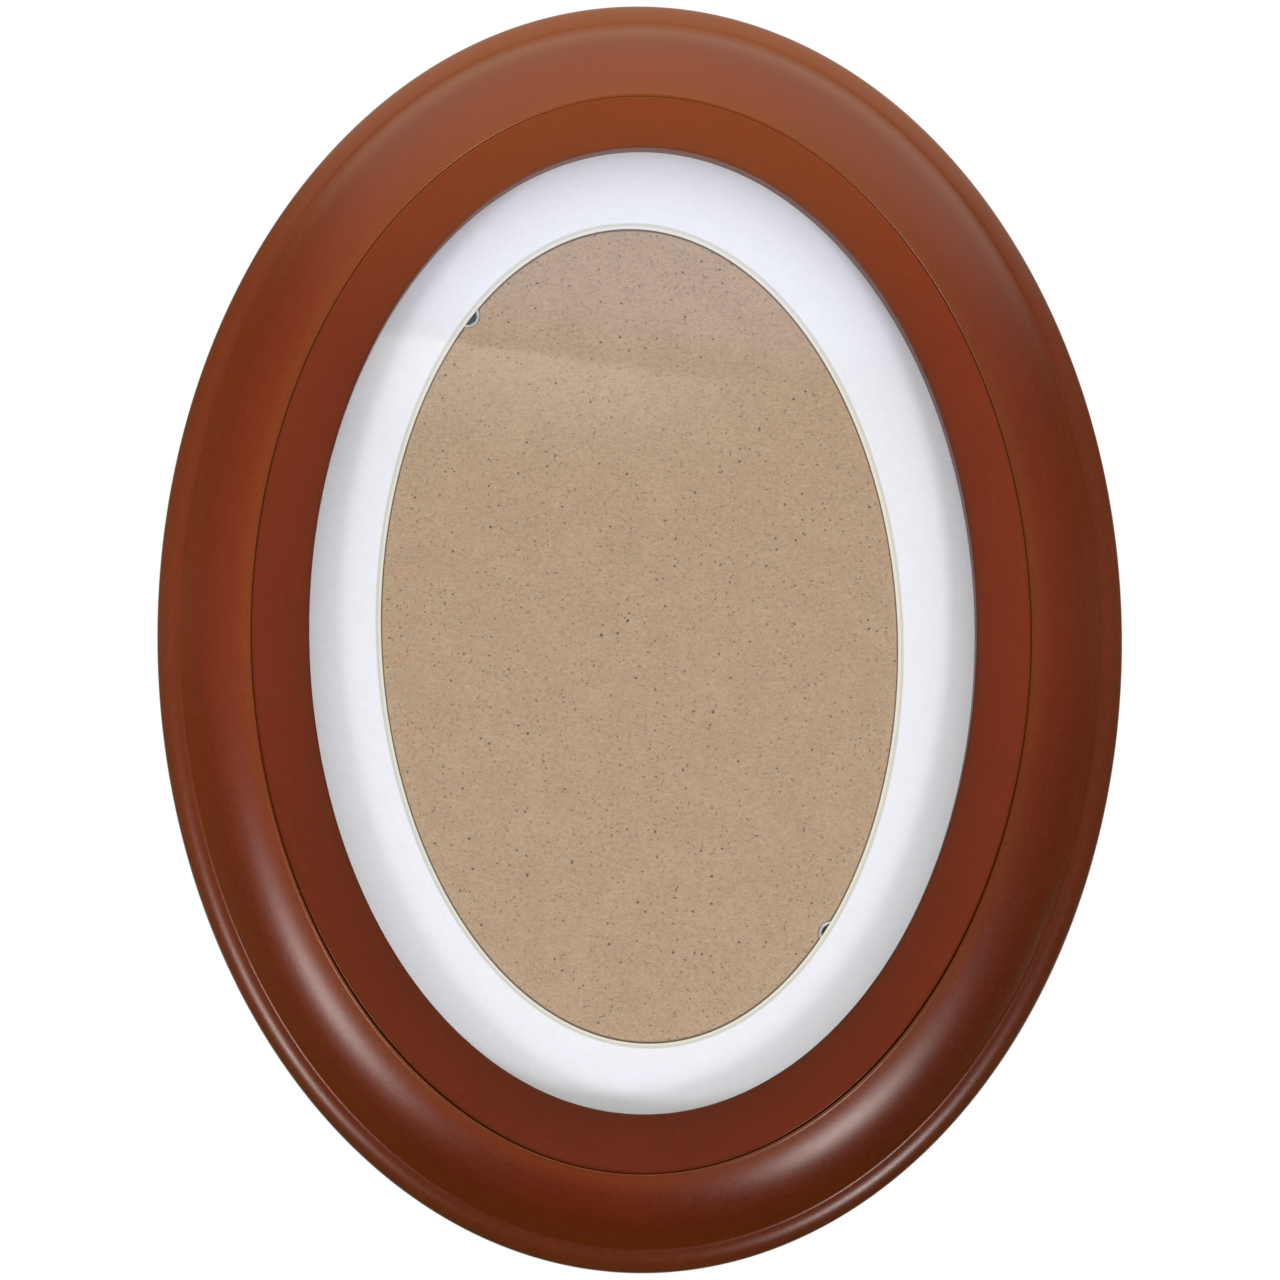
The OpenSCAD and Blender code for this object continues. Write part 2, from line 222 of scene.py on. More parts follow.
class Finish:
    """A material, or the studio's air, and the one way that nodes are added to it."""

    def __init__(self, name, tree=None):
        if tree is None:
            self.material = bpy.data.materials.new(name)
            self.material.use_nodes = True
            tree = self.material.node_tree
        self.tree = tree
        self.tree.nodes.clear()

    def node(self, kind, settings=None, inputs=None, output=0):
        """Adds a node: its settings first, then the values or links of its sockets."""
        made = self.tree.nodes.new("ShaderNode" + kind)
        for key, value in (settings or {}).items():
            if key == "stops":
                ramp = made.color_ramp.elements
                while len(ramp) < len(value):
                    ramp.new(0.5)
                for stop, (place, colour) in zip(ramp, value):
                    stop.position, stop.color = place, chart(*colour)
            else:
                setattr(made, key, value)
        for key, value in (inputs or {}).items():
            if isinstance(value, Flow):
                self.tree.links.new(value.socket, made.inputs[key])
            else:
                made.inputs[key].default_value = value
        return Flow(self, made.outputs[output]) if len(made.outputs) else None

    def mark(self, name):
        """A mark that the mesh carries: grain is a vector, the others are values."""
        return self.node("Attribute", {"attribute_name": name}, output=1 if name == "grain" else 2)

    def here(self):
        """The place on the piece, in metres."""
        return self.node("TexCoord", output=3)

    def parts(self, places):
        return [self.node("SeparateXYZ", None, {0: places}, output=i) for i in range(3)]

    def stretched(self, places, by):
        return self.node("VectorMath", {"operation": "MULTIPLY"}, {0: places, 1: by})

    def lit(self, colour, by):
        return self.node("VectorMath", {"operation": "SCALE"}, {0: colour, "Scale": by})

    def larger(self, first, second):
        return self.node("Math", {"operation": "MAXIMUM"}, {0: first, 1: second})

    def noise(self, places, scale, detail=3.0, rough=0.55):
        return self.node("TexNoise", None, {"Vector": places, "Scale": scale, "Detail": detail,
                                            "Roughness": rough})

    def along_grain(self, grain, along, across, detail=3.0, rough=0.55):
        """Noise drawn out along the grain: how fine it is along and across, per millimetre."""
        return self.noise(self.stretched(grain, (along, along, across)), 1.0, detail, rough)

    def cells(self, places, scale, what):
        """Scattered cells: 0 gives the distance to the nearest, 1 a colour for each."""
        return self.node("TexVoronoi", None, {"Vector": places, "Scale": scale}, output=what)

    def between(self, value, low, high, to_low=0.0, to_high=1.0):
        """Rises softly from to_low at low to to_high at high; low may be the larger."""
        return self.node("MapRange", {"interpolation_type": "SMOOTHSTEP"},
                         {"Value": value, "From Min": low, "From Max": high,
                          "To Min": to_low, "To Max": to_high})

    def ramp(self, value, low, high, stops):
        """Chart colours along a value from low to high, each stop a share of the way."""
        share = self.node("MapRange", None, {"Value": value, "From Min": low, "From Max": high})
        return self.node("ValToRGB", {"stops": stops}, {0: share})

    def blend(self, share, first, second, how="MIX"):
        return self.node("Mix", {"data_type": "RGBA", "blend_type": how},
                         {0: share, 6: first, 7: second}, output=2)

    def bump(self, height, strength, distance):
        """Relief for the Normal socket, with its distance in millimetres."""
        return self.node("Bump", None, {"Height": height, "Strength": strength,
                                        "Distance": distance / 1000})

    def surface(self, shader):
        self.node("OutputMaterial", None, {"Surface": shader})
        return self.material


RAW_PALE, RAW_DARK = chart(190, 154, 112), chart(166, 128, 88)
RAW_SEAM, RAW_PORE = chart(84, 58, 36), chart(112, 80, 52)
RAW_ROUGH = 0.75
# The joints between the curved lengths: their turn, the soft edge of each line as a share of the
# oval's radius, and how far neighbouring lengths differ in tone
SEAM_TURN, SEAM_EDGE, LENGTHS_DIFFER = 28.0, (0.0016, 0.0006), 0.12


def bare_wood(wood, grain, across, upward):
    """Unfinished pale hardwood, as on the back and in the rebate: fine grain, short pores, and
    the four glued joints between the curved lengths."""
    year_rings = wood.along_grain(grain, 0.02, 0.6, detail=4.0, rough=0.6)
    pores = wood.along_grain(grain, 0.35, 5.0, detail=2.0)
    pale = wood.blend(wood.between(year_rings, 0.35, 0.65), RAW_PALE, RAW_DARK)
    turn = math.radians(SEAM_TURN)
    first = across * math.cos(turn) + upward * math.sin(turn)
    second = upward * math.cos(turn) - across * math.sin(turn)
    length = wood.between(first * second, -0.001, 0.001)
    pale = wood.lit(pale, 1 - LENGTHS_DIFFER / 2 + length * LENGTHS_DIFFER)
    seams = wood.between(abs(first), *SEAM_EDGE) + wood.between(abs(second), *SEAM_EDGE)
    pale = wood.blend(seams * 0.7, pale, RAW_SEAM)
    return wood.blend(wood.between(pores, 0.56, 0.66) * 0.55, pale, RAW_PORE)


# How much clouds, figure, mottle and pores change the stain's tone
CLOUDED, FIGURED, MOTTLED, PORED = 0.16, 0.14, 0.24, 0.05
# Insets of the slope just below the lip, where the tone is more even from top to bottom
NEAR_LIP, LIP_ENDS, MORE_EVEN = (17.0, 21.0), (23.9, 23.7), 0.11
# A painted sheen at the top of the oval: paler colour over the slope, and most on the bead there
TOP_SHEEN_PAINT, BEAD_INSET = chart(150, 85, 38), (10.0, 7.0)
# Where bare wood starts, by inset and height: on the back, and inside the sight edge's rebate
BACK_LAP, BACK_ARRIS = (3.2, 3.8), (0.32, 0.26)
REBATE_HEIGHT, REBATE_INSET = (12.5, 12.4), (25.0, 26.0)
LACQUER_TINT, LIP_ROUGH = (1.0, 0.87, 0.72, 1), 0.2


def lacquered(name, insets, stops, tone_leans, rough, gloss):
    """Red-brown stain under satin lacquer on the front, bare wood where the back is cut.

    The stops run over the insets. Tone leans say how much paler the front is upward and across
    to the right, and how much darker at the corners. A painted sheen lightens the top of the
    oval, and painted light the joint there."""
    wood = Finish(name)
    grain, inset, height = wood.mark("grain"), wood.mark("inset"), wood.mark("height")
    across, upward, _ = wood.parts(grain)
    across, upward = across / GRAIN_R, upward / GRAIN_R
    cloud = wood.along_grain(grain, 0.03, 0.08)
    figure = wood.along_grain(grain, 0.12, 0.55, detail=4.0, rough=0.6)
    mottle = wood.along_grain(grain, 0.55, 1.1, rough=0.65)
    pores = wood.along_grain(grain, 0.6, 4.0, detail=2.0)
    bleed = wood.along_grain(grain, 0.08, 0.3, detail=4.0)
    sparkle = wood.noise(grain, 3.0, rough=0.7)
    even = wood.between(inset, *NEAR_LIP) * wood.between(inset, *LIP_ENDS) * MORE_EVEN
    # The tone changes upward, across and at the corners by the tone leans
    tone = (1.0 + upward * (tone_leans[0] - even) + across * tone_leans[1]
            - abs(upward * across) * tone_leans[2]
            + (cloud - 0.5) * CLOUDED + (figure - 0.5) * FIGURED + (mottle - 0.5) * MOTTLED
            - wood.between(pores, 0.6, 0.7) * PORED)
    from_joint = abs(inset - OUTER_W)
    # Painted light: paler beside the joint at the top of the oval, against the shade on the lip
    # there
    painted_joint_light = wood.between(from_joint, 0.7, 0.3) * wood.between(upward, 0.2, 0.9)
    front = wood.lit(wood.ramp(inset, *insets, stops), tone + painted_joint_light * 0.3)
    # Painted sheen: the top of the oval blends towards a paler colour, most of all on the bead
    wear_and_sheen = wood.between(upward, 0.5, 1.0) * wood.between(inset, *BEAD_INSET, 0.26, 0.50)
    front = wood.blend(wear_and_sheen, front, TOP_SHEEN_PAINT)
    back = wood.between(height, *BACK_ARRIS) * wood.between(inset + bleed * 3.0, *BACK_LAP)
    rebate = (wood.between(height + bleed * 0.6, *REBATE_HEIGHT)
              * wood.between(inset, *REBATE_INSET))
    bare = wood.larger(back, rebate)
    colour = wood.blend(bare, front, bare_wood(wood, grain, across, upward))
    lips = wood.between(from_joint, 0.7, 0.4) * wood.between(upward, 0.1, -0.3)
    return wood.surface(wood.node("BsdfPrincipled", None, {
        "Base Color": colour, "IOR": 1.55, "Specular IOR Level": gloss,
        "Specular Tint": LACQUER_TINT,
        "Roughness": (rough + (mottle - 0.5) * 0.12 + bare * (RAW_ROUGH - rough)
                      - lips * (rough - LIP_ROUGH)),
        "Normal": wood.bump(sparkle - bare * pores * 1.3, 0.10, 0.16)}))


# How far in from the outline, as a share of the insets, and the stain there
MOULDING_STAIN = [
    (0.000, (104, 52, 20)), (0.085, (110, 43, 8)), (0.210, (113, 41, 7)), (0.270, (109, 46, 7)),
    (0.340, (108, 43, 6)), (0.430, (108, 38, 4)), (0.600, (113, 38, 4)), (0.760, (117, 38, 4)),
    (0.850, (120, 43, 4)), (0.910, (123, 49, 6)), (0.970, (121, 51, 9)), (1.000, (105, 46, 14))]


def moulding_stray(inset, height):
    """How far a ring of the moulding follows the joint: less towards the outline and the back."""
    return (inset / OUTER_W) ** 2 * min(1.0, height / JOINT_FOOT)


section = moulding_section()
moulding = oval_ring("moulding", [(OUTLINE - inset, height) for inset, height in section],
                     strays=[moulding_stray(*place) for place in section])
moulding.data.materials.append(lacquered(
    "moulding", (0.0, 24.0), MOULDING_STAIN, tone_leans=(0.26, -0.13, 0.24), rough=0.29, gloss=0.55))
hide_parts("outer_moulding")
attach(moulding, "frame")


# Inner band
# A second oval ring of the same wood, flat in front, glued inside the first with a thin dark line
# left between them. Its back is cut away for the glass, with a groove for the turn clips.
SIDE_W, TOP_W = 37.75, 38.5
SIGHT = OUTLINE - np.array([SIDE_W, TOP_W])
# The line along the joint, how far it has slipped and opened, and the lap that closes it below
LINE_W, LINE_SLIP, LINE_PINCH, GLUE_LAP = 0.03, 0.05, 0.29, 0.15
BAND_T, REBATE_W = 8.0, 5.3
GROOVE_LOW, GROOVE_HIGH, GROOVE_DEPTH = 4.85, 6.25, 4.2
BAND_LIP_R, SIGHT_R = 0.45, 0.7
GLASS_FRONT = DEPTH - BAND_T
BAND_STAIN = [(0.00, (104, 42, 16)), (0.06, (115, 41, 13)), (0.60, (111, 39, 13)),
              (0.90, (104, 39, 15)), (0.97, (92, 38, 18)), (1.00, (78, 36, 20))]


def rounded(base, height, radius, start, end, steps):
    """Rings round an edge of the band, about the oval and height of the edge's centre."""
    return [(base + out, height + up)
            for out, up in arc((0, 0), radius, start + 90, end + 90, steps)]


def band_rings():
    """From the back edge up the joint, over the front and down the sight edge and rebate."""
    joint, front = OUTLINE - OUTER_W + GLUE_LAP, OUTLINE - OUTER_W - LINE_W
    rebate = SIGHT + REBATE_W
    rings = [(joint - GLUE_LAP * 2, 0.0), (joint, ARRIS), (joint, JOINT_FOOT),
             (front, JOINT_FOOT)]
    rings += rounded(front - BAND_LIP_R, DEPTH - BAND_LIP_R, BAND_LIP_R, -90, 0, steps=7)
    rings += [(front + (SIGHT - front) * share, DEPTH) for share in (0.15, 0.3, 0.5, 0.7, 0.85)]
    rings += rounded(SIGHT + SIGHT_R, DEPTH - SIGHT_R, SIGHT_R, 0, 90, steps=10)
    rings += [(SIGHT, GLASS_FRONT + ARRIS), (SIGHT + ARRIS, GLASS_FRONT), (rebate, GLASS_FRONT),
              (rebate, GROOVE_HIGH), (rebate + GROOVE_DEPTH, GROOVE_HIGH),
              (rebate + GROOVE_DEPTH, GROOVE_LOW), (rebate, GROOVE_LOW), (rebate, ARRIS),
              (rebate + ARRIS, 0.0)]
    return rings


def band_stray(half, height):
    """How far a ring of the band follows the joint: less towards the sight edge and the back,
    and not at all in the rebate."""
    joint, sight = OUTLINE[0] - OUTER_W, SIGHT[0]
    if height <= GLASS_FRONT and half[0] <= joint - 1:
        return 0.0
    return min(1.0, height / JOINT_FOOT) * max(0.0, (half[0] - sight) / (joint - sight))


rings = band_rings()
band = oval_ring("inner_band_wood", rings, strays=[band_stray(*ring) for ring in rings],
                 slip=LINE_SLIP, pinch=LINE_PINCH)
band.data.materials.append(lacquered(
    "band", (24.0, 38.0), BAND_STAIN, tone_leans=(0.23, 0.03, 0.08), rough=0.40, gloss=0.22))
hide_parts("inner_band")
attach(band, "frame")


# Glass
# A clear oval pane with ground edges. It lies against the band's lip and is held there by the
# mat and the board behind it.
GLASS_T, FIT_GAP = 2.0, 0.6
GROUND_EDGE, FACE_PLAY = 0.25, 0.03
PANE = SIGHT + REBATE_W - FIT_GAP
MAT_FRONT = GLASS_FRONT - GLASS_T
HEAD_ON_GLOSS = 0.04


def oval_plate(name, low, high, edge):
    """An oval plate with eased edges, closed front and back by one face each."""
    half = [(PANE - edge, low), (PANE, low + edge), (PANE, high - edge), (PANE - edge, high)]
    places = [(h[0] * math.cos(a), h[1] * math.sin(a), z) for h, z in half for a in ROUND_OVAL]
    faces = [[k * STATIONS + i, k * STATIONS + (i + 1) % STATIONS,
              (k + 1) * STATIONS + (i + 1) % STATIONS, (k + 1) * STATIONS + i]
             for k in range(3) for i in range(STATIONS)]
    faces += [list(range(STATIONS))[::-1], list(range(3 * STATIONS, 4 * STATIONS))]
    mesh = bpy.data.meshes.new(name)
    mesh.from_pydata(hung(places).tolist(), [], faces)
    return finished_mesh(name, mesh)


def clear_glass():
    """Clear to look through, and the more of a mirror the more slanting the view."""
    glass = Finish("glass")
    slant = glass.node("LayerWeight", None, {"Blend": 0.5}, output=1) ** 5.0
    mirror = slant * (1 - HEAD_ON_GLOSS) + HEAD_ON_GLOSS
    clear = glass.node("BsdfTransparent", None, {"Color": (0.99, 0.995, 0.992, 1)})
    gloss = glass.node("BsdfGlossy", None, {"Color": (1, 1, 1, 1), "Roughness": 0.0})
    return glass.surface(glass.node("MixShader", None, {0: mirror, 1: clear, 2: gloss}))


pane = oval_plate("glass", MAT_FRONT + FACE_PLAY, GLASS_FRONT - FACE_PLAY, GROUND_EDGE)
pane.data.materials.append(clear_glass())
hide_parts("glass_pane")
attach(pane, "frame")


# Window mat
# White-faced mount board with a cream core. The oval window was cut at 45 degrees from the front,
# a little out of upright, so the core shows as a thin line all round.
MAT_T = 1.4
MAT_SIDE, MAT_TOP = 18.73, 18.94
MAT_BACK = MAT_FRONT - MAT_T
WINDOW = SIGHT - np.array([MAT_SIDE, MAT_TOP])
WINDOW_TURN, WINDOW_MOVE = 2.1, np.array([-0.36, -0.06])
PAPER_T = 0.15
PAPER_DARK, PAPER_LIGHT = (0.890, 0.883, 0.925, 1), (0.920, 0.913, 0.955, 1)
# The core's grey, and its cream, which is painted bright as a highlight along the cut
CORE_GREY, CREAM_CUT_HIGHLIGHT = chart(229, 230, 222), chart(253, 249, 238)


def mat_rings():
    """Rings from the outer edge over the front to the cut, and which of them turn with it."""
    front = WINDOW + MAT_T
    rings = [(PANE, MAT_BACK), (PANE, MAT_FRONT)]
    rings += [(PANE + (front - PANE) * share, MAT_FRONT) for share in (0.4, 0.9)]
    rings += [(front + PAPER_T / 2, MAT_FRONT), (front - PAPER_T, MAT_FRONT - PAPER_T),
              (WINDOW + PAPER_T * 2, MAT_BACK + PAPER_T * 2), (WINDOW, MAT_BACK)]
    return rings, np.array([0, 0, 0, 1, 1, 1, 1, 1])


def mount_board():
    """White paper with a fine tooth, and the core: grey under the paper, and cream below, made
    bright as a painted highlight along the cut.
    """
    board = Finish("mat")
    tooth = board.noise(board.here(), 900)
    height = board.mark("height")
    white = board.blend(board.between(tooth, 0.3, 0.7), PAPER_DARK, PAPER_LIGHT)
    # The lower part of the cut is cream core painted bright, a painted highlight
    core = board.blend(board.between(height, MAT_BACK + 0.75, MAT_BACK + 0.6), CORE_GREY,
                       CREAM_CUT_HIGHLIGHT)
    cut = board.between(height, MAT_FRONT - PAPER_T / 2, MAT_FRONT - PAPER_T)
    return board.surface(board.node("BsdfPrincipled", None, {
        "Base Color": board.blend(cut, white, core), "Roughness": 0.85,
        "Specular IOR Level": 0.2, "Normal": board.bump(tooth, 0.1, 0.05)}))


rings, askew = mat_rings()
mat = oval_ring("mount_mat", rings, turns=askew * WINDOW_TURN,
                moves=askew[:, None] * WINDOW_MOVE)
mat.data.materials.append(mount_board())
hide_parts("window_mat")
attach(mat, "frame")


# Back board
# An oval of bare fibreboard, pale brown, with dark specks of bark and a few short pale fibres. It
# was sawn to the size of the glass and lies loose behind the mat.
BOARD_DARK, BOARD_PALE = chart(174, 147, 120), chart(198, 171, 143)
FLECK_PALE, WINDOW_SHADE = chart(206, 182, 150), chart(84, 70, 64)
# Specks of bark, large to small: cells a metre, how rare, how wide, their colour and strength
SPECKS = [(430, 0.60, 0.17, (100, 76, 60), 0.95),
          (620, 0.42, 0.21, (122, 96, 76), 0.8),
          (1000, 0.30, 0.27, (146, 118, 94), 0.75)]


def painted_window_shade(board, places):
    """A dark line painted on the board just under the window's edge: painted shade where the mat
    meets the board.
    """
    x, y, z = board.parts(places)
    z = z * 1000 + (NAIL_UP - WINDOW_MOVE[1])
    x, turn = x * 1000 - WINDOW_MOVE[0], math.radians(WINDOW_TURN)
    across = (x * math.cos(turn) + z * math.sin(turn)) / WINDOW[0]
    up = (z * math.cos(turn) - x * math.sin(turn)) / WINDOW[1]
    rim = across * across + up * up
    front = MAT_BACK + WIRE_OUT
    return (board.between(rim, 0.985, 0.995) * board.between(rim, 1.02, 1.01)
            * board.between(y * -1000, front - 0.3, front - 0.2))


def fibreboard():
    board = Finish("fibreboard")
    places = board.here()
    cloud = board.noise(places, 90)
    fibre = board.noise(board.stretched(places, (1.0, 1.0, 2.2)), 1100, detail=5.0, rough=0.8)
    fleck = board.noise(board.stretched(places, (1.7, 1.0, 1.0)), 800, rough=0.6)
    colour = board.blend(board.between(cloud * 0.14 + fibre * 0.86, 0.34, 0.66), BOARD_DARK,
                         BOARD_PALE)
    colour = board.blend(board.between(fleck, 0.62, 0.72) * 0.5, colour, FLECK_PALE)
    torn = board.node("TexNoise", None, {"Vector": places, "Scale": 1600.0}, output=1)
    torn = board.node("VectorMath", {"operation": "ADD"}, {0: places, 1: board.lit(torn, 0.0008)})
    for scale, rare, wide, bark, strength in SPECKS:
        near = board.cells(torn, scale, 0)
        pick = board.node("SeparateColor", None, {0: board.cells(torn, scale, 1)})
        speck = board.between(near, wide, wide / 2) * board.between(pick, rare, rare + 0.02)
        colour = board.blend(speck * strength, colour, chart(*bark))
    # Painted shade: a dark line on the board under the window's edge
    colour = board.blend(painted_window_shade(board, places) * 0.9, colour, WINDOW_SHADE)
    return board.surface(board.node("BsdfPrincipled", None, {
        "Base Color": colour, "Roughness": 0.7, "Specular IOR Level": 0.3,
        "Normal": board.bump(fibre, 0.3, 0.05)}))


board_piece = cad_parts["backing_board"]
board_piece.data.materials.clear()
board_piece.data.materials.append(fibreboard())


# Turn clips
# Four strips of zinc plated steel on the back board. Each turns on its rivet, so that its tip goes
# into the groove in the band, and its tail is bent up as a tab for the thumb.
BOARD_T, PLAY = 2.6, 0.05
CLIP_T, CLIP_W, CLIP_TIP_R = 0.8, 10.0, 1.2
CLIP_SET, CLIP_BITE, CLIP_HOLE_R = 21.1, 2.9, 2.58
TAB_W, TAB_REACH, TAB_H, TAB_BEND_R, TAB_CORNER_R = 6.0, 8.0, 1.6, 0.6, 0.8
TAB_FOOT = TAB_REACH - TAB_BEND_R - CLIP_T / 2
TAB_BEND_L = TAB_BEND_R * math.pi / 2
SHEET_EASE = 0.1
CLIP_MIDDLE = MAT_BACK - BOARD_T - PLAY - CLIP_T / 2
CLIP_TURNS = {"top_left": 132.9, "top_right": 44.9, "bottom_right": -42.7, "bottom_left": -135.1}


def formed(name, form, lay, *where):
    """A fitting from its form: lay puts each point in the drawing, and hung in the frame."""
    for point in form.verts:
        point.co = Vector(hung(lay(*point.co, *where)).tolist())
    bmesh.ops.recalc_face_normals(form, faces=form.faces[:])
    mesh = bpy.data.meshes.new(name)
    form.to_mesh(mesh)
    form.free()
    return finished_mesh(name, mesh)


def joined(form, first, second):
    """Faces between two rings of points; a ring of one point makes a fan."""
    count = max(len(first), len(second))
    for i in range(count):
        j = (i + 1) % count
        corners = [ring[k % len(ring)] for ring, k in
                   ((first, i), (first, j), (second, j), (second, i))]
        form.faces.new(list(dict.fromkeys(corners)))


def filled(form, rings):
    """A flat face inside the first ring and outside the others."""
    rims = [form.edges.get(pair) or form.edges.new(pair)
            for ring in rings for pair in zip(ring, ring[1:] + ring[:1])]
    bmesh.ops.triangle_fill(form, use_beauty=True, edges=rims)


def pressed(outline, holes, thick, cuts):
    """A flat blank of sheet metal with eased edges, cut across at each place where it bends."""
    form = bmesh.new()
    fronts, backs = [], []
    for loop in [outline] + holes:
        loop = np.array(loop, float)
        along = np.roll(loop, -1, 0) - np.roll(loop, 1, 0)
        inward = np.stack([-along[:, 1], along[:, 0]], 1)
        inward /= np.linalg.norm(along, axis=1)[:, None]
        rings = [[form.verts.new((*place, level)) for place in loop + inward * ease]
                 for ease, level in ((SHEET_EASE, -thick / 2), (0, SHEET_EASE - thick / 2),
                                     (0, thick / 2 - SHEET_EASE), (SHEET_EASE, thick / 2))]
        for low, high in zip(rings, rings[1:]):
            joined(form, low, high)
        backs.append(rings[0])
        fronts.append(rings[-1])
    filled(form, fronts)
    filled(form, backs)
    for cut in cuts:
        bmesh.ops.bisect_plane(form, geom=form.verts[:] + form.edges[:] + form.faces[:],
                               dist=1e-5, plane_co=(cut, 0, 0), plane_no=(1, 0, 0))
    return form


def clip_blank():
    """Rounded tip, round middle about the rivet, and a narrow tail long enough for its tab."""
    reach, half = CLIP_SET + CLIP_BITE, CLIP_W / 2
    inner = (math.sqrt((reach - CLIP_TIP_R) ** 2 - (half - CLIP_TIP_R) ** 2), half - CLIP_TIP_R)
    tip = math.degrees(math.atan2(inner[1], inner[0]))
    tail = math.degrees(math.asin(TAB_W / 2 / half))
    end = -(TAB_FOOT + TAB_BEND_L + TAB_H - TAB_BEND_R + CLIP_T / 2)
    corner = (end + TAB_CORNER_R, TAB_W / 2 - TAB_CORNER_R)
    outline = arc((inner[0], -inner[1]), CLIP_TIP_R, -90, -tip, 6)
    outline += arc((0, 0), reach, -tip, tip, 12)[1:-1]
    outline += arc(inner, CLIP_TIP_R, tip, 90, 6)
    outline += arc((0, 0), half, 90, 180 - tail, 12)
    outline += arc(corner, TAB_CORNER_R, 90, 180, 6)
    outline += arc((corner[0], -corner[1]), TAB_CORNER_R, 180, 270, 6)
    outline += arc((0, 0), half, 180 + tail, 270, 12)
    return outline


def bent_tab(along, above):
    """Rolls the end of the tail over towards the back, about the foot of the tab."""
    past = -along - TAB_FOOT
    if past <= 0:
        return along, above
    turn = min(past / TAB_BEND_R, math.pi / 2)
    radius = TAB_BEND_R + above
    return (-TAB_FOOT - radius * math.sin(turn),
            radius * math.cos(turn) - TAB_BEND_R - max(0.0, past - TAB_BEND_L))


def rivet_place(turn):
    """Where a clip's rivet sits, and the way its tip points: square to the rebate's wall."""
    wall, turn = SIGHT + REBATE_W, math.radians(turn)
    way = math.atan2(wall[0] * math.sin(turn), wall[1] * math.cos(turn))
    return (wall[0] * math.cos(turn) - CLIP_SET * math.cos(way),
            wall[1] * math.sin(turn) - CLIP_SET * math.sin(way), way)


def clip_lay(x, y, z, rivet_x, rivet_y, way):
    x, z = bent_tab(x, z)
    return (rivet_x + x * math.cos(way) - y * math.sin(way),
            rivet_y + x * math.sin(way) + y * math.cos(way), CLIP_MIDDLE + z)


def plated(name, colour, wear_and_sheen, scale, metallic, rough):
    """Zinc or nickel plate: cloudy, brushed lengthwise, with dull worn places."""
    metal = Finish(name)
    places = metal.here()
    cloud = metal.noise(places, scale, detail=4.0)
    brushed = metal.noise(metal.stretched(places, (1.0, 1.0, 14.0)), scale * 2.0, rough=0.7)
    rubbed = metal.between(metal.noise(places, scale * 0.4, detail=5.0, rough=0.65), 0.52, 0.66)
    tint = metal.blend(metal.between(cloud, 0.3, 0.7), chart(*colour),
                       chart(*(c * 0.88 for c in colour)))
    return metal.surface(metal.node("BsdfPrincipled", None, {
        "Base Color": metal.blend(rubbed * 0.7, tint, chart(*wear_and_sheen)), "Metallic": metallic,
        "Roughness": rough + brushed * 0.12 + rubbed * 0.15,
        "Normal": metal.bump(brushed * 0.6 + cloud * 0.4, 0.25, 0.03)}))


zinc = plated("zinc", (200, 201, 198), (160, 157, 150), scale=260, metallic=1.0, rough=0.24)
clip_hole = arc((0, 0), CLIP_HOLE_R, 360, 0, 41)[:-1]
tab_cuts = [-TAB_FOOT - TAB_BEND_L * step / 8 for step in range(9)]
for corner, turn in CLIP_TURNS.items():
    blank = pressed(clip_blank(), [clip_hole], CLIP_T, tab_cuts)
    clip = formed("clip_" + corner, blank, clip_lay, *rivet_place(turn))
    clip.data.materials.append(zinc)
    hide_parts("turn_clip_" + corner)
    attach(clip, "turn_clip_" + corner)


# Rivets
# A nickel plated semi-tubular rivet holds each clip. Its low domed head is behind the clip, and
# the end of its hollow shank is rolled over on the front of the board.
HEAD_R, HEAD_T, HEAD_DOME = 4.0, 0.4, 0.25
SHANK_R, BORE_R, ROLL_R = 2.5, 2.2, 0.45
HEAD_FRONT = CLIP_MIDDLE - CLIP_T / 2 - PLAY
ROLL_HEIGHT = MAT_BACK - ROLL_R
ROUND_AXIS = 2 * math.pi * np.arange(48) / 48
# The setting tool's dents in the roll, coarse and fine: share of its radius, and waves round it
ROLL_DENTS = (0.10, 5), (0.06, 11)


def spun(form, rows):
    """Rings about the axis, each joined to the last. A row's radius is one number, or a
    number for each step round the axis."""
    last = None
    for radius, height in rows:
        radii = np.broadcast_to(radius, ROUND_AXIS.shape) if np.max(radius) > 0 else [0.0]
        ring = [form.verts.new((r * math.cos(a), r * math.sin(a), height))
                for r, a in zip(radii, ROUND_AXIS)]
        if last:
            joined(form, last, ring)
        last = ring
    return last


def rivet_rows(seed):
    """Radius and height of each ring: the domed head, the shank, its dented roll, the bore."""
    low = HEAD_FRONT - HEAD_T
    rows = [(0.0, low - HEAD_DOME)]
    rows += [(HEAD_R * share, low - HEAD_DOME * (1 - share ** 2))
             for share in (0.2, 0.4, 0.6, 0.75, 0.88)]
    rows += [(HEAD_R - 0.12, low - 0.02), (HEAD_R, low + 0.14), (HEAD_R, HEAD_FRONT - 0.1),
             (HEAD_R - 0.1, HEAD_FRONT), (SHANK_R, HEAD_FRONT), (SHANK_R, ROLL_HEIGHT - 0.35)]
    (deep, waves), (fine_deep, fine_waves) = ROLL_DENTS
    dents = (1 + deep * np.sin(waves * ROUND_AXIS + seed)
             + fine_deep * np.sin(fine_waves * ROUND_AXIS + 2 * seed))
    rows += [(BORE_R + ROLL_R + ROLL_R * math.cos(a) * dents,
              ROLL_HEIGHT + (ROLL_R - 0.01) * math.sin(a))
             for a in np.radians(np.arange(-70, 171, 20))]
    rows += [(BORE_R, ROLL_HEIGHT - 0.2), (BORE_R, HEAD_FRONT + 0.3),
             (BORE_R - 0.3, HEAD_FRONT + 0.02), (0.0, HEAD_FRONT)]
    return rows


